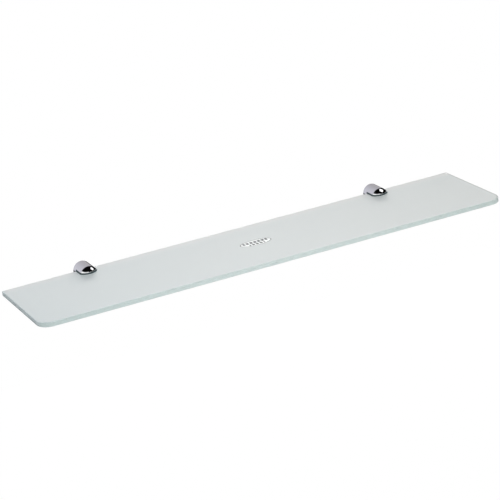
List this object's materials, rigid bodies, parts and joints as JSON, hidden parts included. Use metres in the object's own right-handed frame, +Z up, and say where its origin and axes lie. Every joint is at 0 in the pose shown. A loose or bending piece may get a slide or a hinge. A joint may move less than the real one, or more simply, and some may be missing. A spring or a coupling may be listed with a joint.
{
  "type": "wall shelf with brackets",
  "caption": "Frosted glass wall shelf with rounded front corners, gripped along its rear edge by round chrome clamp barrels that sit on hidden wall plates.",
  "frame": {"origin": "on the wall plane, midway between the wall holes of the two brackets, at the height of their axes", "axes": "+X along the shelf to the right as seen from the room, +Y into the wall, +Z up"},
  "size_m": [0.6, 0.15, 0.0218],
  "materials": {
    "frosted_glass": "satin etched faces, ground edges with a green tint",
    "label_film": "plain white film with a thin dark outline",
    "chrome": "polished chrome plate on cast zinc",
    "zinc_plate": "bright zinc plate, turned",
    "screw_steel": "plain stainless steel",
    "nylon": "natural nylon",
    "liner": "soft dark grey-green vinyl"
  },
  "bodies": {
    "brackets": {"left_barrel": "chrome", "left_wall_plate": "zinc_plate", "left_lock_screw": "screw_steel", "left_upper_pad": "liner", "left_lower_pad": "liner", "left_rear_buffer": "liner", "right_barrel": "chrome", "right_wall_plate": "zinc_plate", "right_lock_screw": "screw_steel", "right_upper_pad": "liner", "right_lower_pad": "liner", "right_rear_buffer": "liner"},
    "shelf": {"glass_panel": "frosted_glass", "oval_label": "label_film"},
    "left_shoe": {"left_clamp_shoe": "nylon"},
    "left_screw": {"left_clamp_screw": "screw_steel"},
    "right_shoe": {"right_clamp_shoe": "nylon"},
    "right_screw": {"right_clamp_screw": "screw_steel"}
  },
  "joints": [
    {"name": "glass_slide", "type": "slide", "parent": "brackets", "child": "shelf", "axis": [0, -1, 0], "range_m": [0, 0.03]},
    {"name": "left_shoe_slide", "type": "slide", "parent": "brackets", "child": "left_shoe", "axis": [0, 0, -1], "range_m": [0, 0.0015]},
    {"name": "left_clamp_turn", "type": "hinge", "parent": "left_shoe", "child": "left_screw", "pos_m": [-0.196, -0.0175, -0.0078], "axis": [0, 0, -1], "range_deg": [0, 675]},
    {"name": "right_shoe_slide", "type": "slide", "parent": "brackets", "child": "right_shoe", "axis": [0, 0, -1], "range_m": [0, 0.0015]},
    {"name": "right_clamp_turn", "type": "hinge", "parent": "right_shoe", "child": "right_screw", "pos_m": [0.196, -0.0175, -0.0078], "axis": [0, 0, -1], "range_deg": [0, 675]}
  ],
  "couplings": [
    {"joint": "left_clamp_turn", "follows": "left_shoe_slide", "rad_per_m": 7854},
    {"joint": "right_clamp_turn", "follows": "right_shoe_slide", "rad_per_m": 7854}
  ]
}
